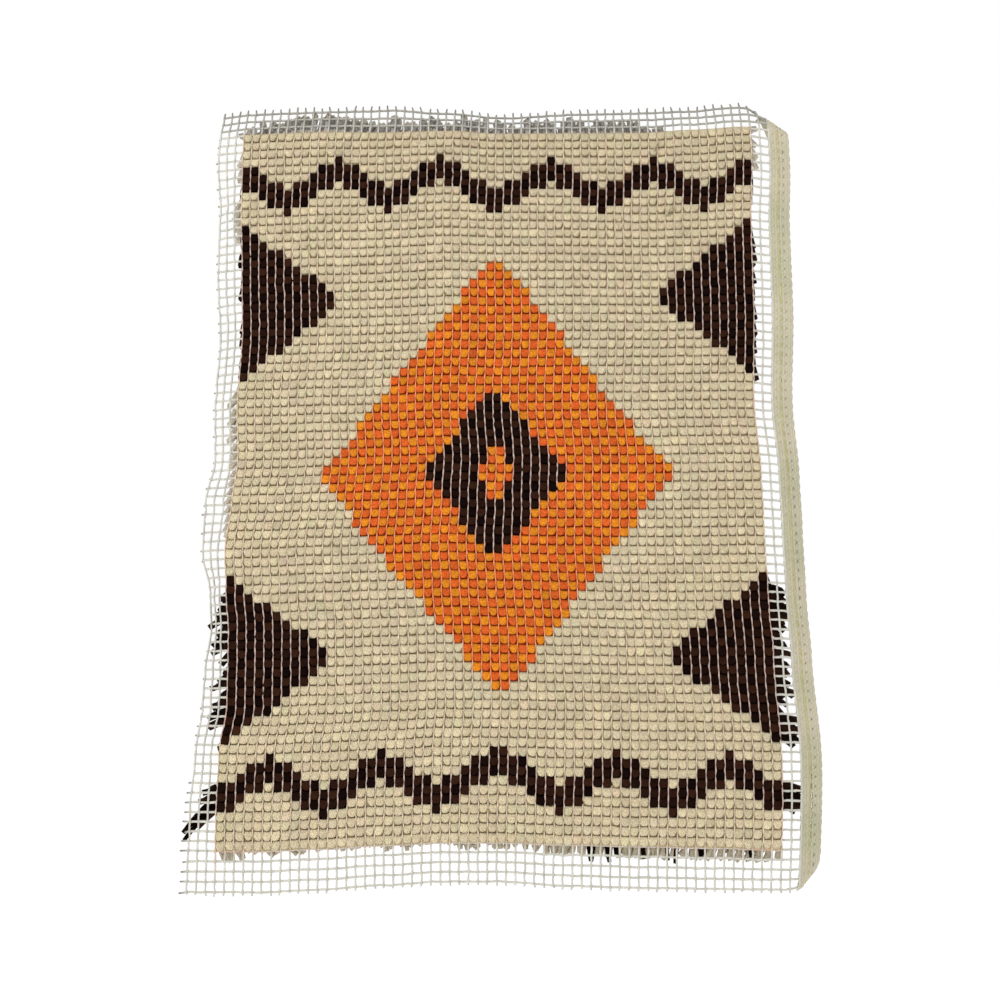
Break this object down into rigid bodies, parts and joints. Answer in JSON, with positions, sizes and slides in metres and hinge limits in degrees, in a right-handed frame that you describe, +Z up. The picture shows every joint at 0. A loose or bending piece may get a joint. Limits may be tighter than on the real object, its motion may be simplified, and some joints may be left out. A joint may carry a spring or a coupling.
{
  "type": "latch hook wall hanging",
  "caption": "Latch hook wall hanging seen from its canvas side: open mesh canvas with a woven selvedge, rows of yarn knot loops worked in a lozenge design, and a deep cut pile behind.",
  "frame": {"origin": "middle of the raw top edge, where the hanging is held", "axes": "+Z up, +X to the right seen from the canvas side, +Y from the canvas side towards the pile"},
  "size_m": [0.4539, 0.0463, 0.5921],
  "materials": {
    "canvas_thread": "matte stiffened cotton canvas thread, with a selvedge band and one yellow marker thread",
    "yarn_cream": "matte cream rug yarn",
    "yarn_orange": "matte rug yarn, amber and red-orange knot by knot",
    "yarn_brown": "matte rug yarn, dark brown and near-black knot by knot"
  },
  "bodies": {
    "root": {"canvas": "canvas_thread", "knots_ground": "yarn_cream", "knots_medallion": "yarn_orange", "knots_core": "yarn_brown", "knots_side_upper_left": "yarn_brown", "knots_side_upper_right": "yarn_brown", "knots_side_lower_left": "yarn_brown", "knots_side_lower_right": "yarn_brown", "pile_ground": "yarn_cream", "pile_medallion": "yarn_orange", "pile_core": "yarn_brown", "pile_side_upper_left": "yarn_brown", "pile_side_upper_right": "yarn_brown", "pile_side_lower_left": "yarn_brown", "pile_side_lower_right": "yarn_brown"}
  },
  "joints": []
}
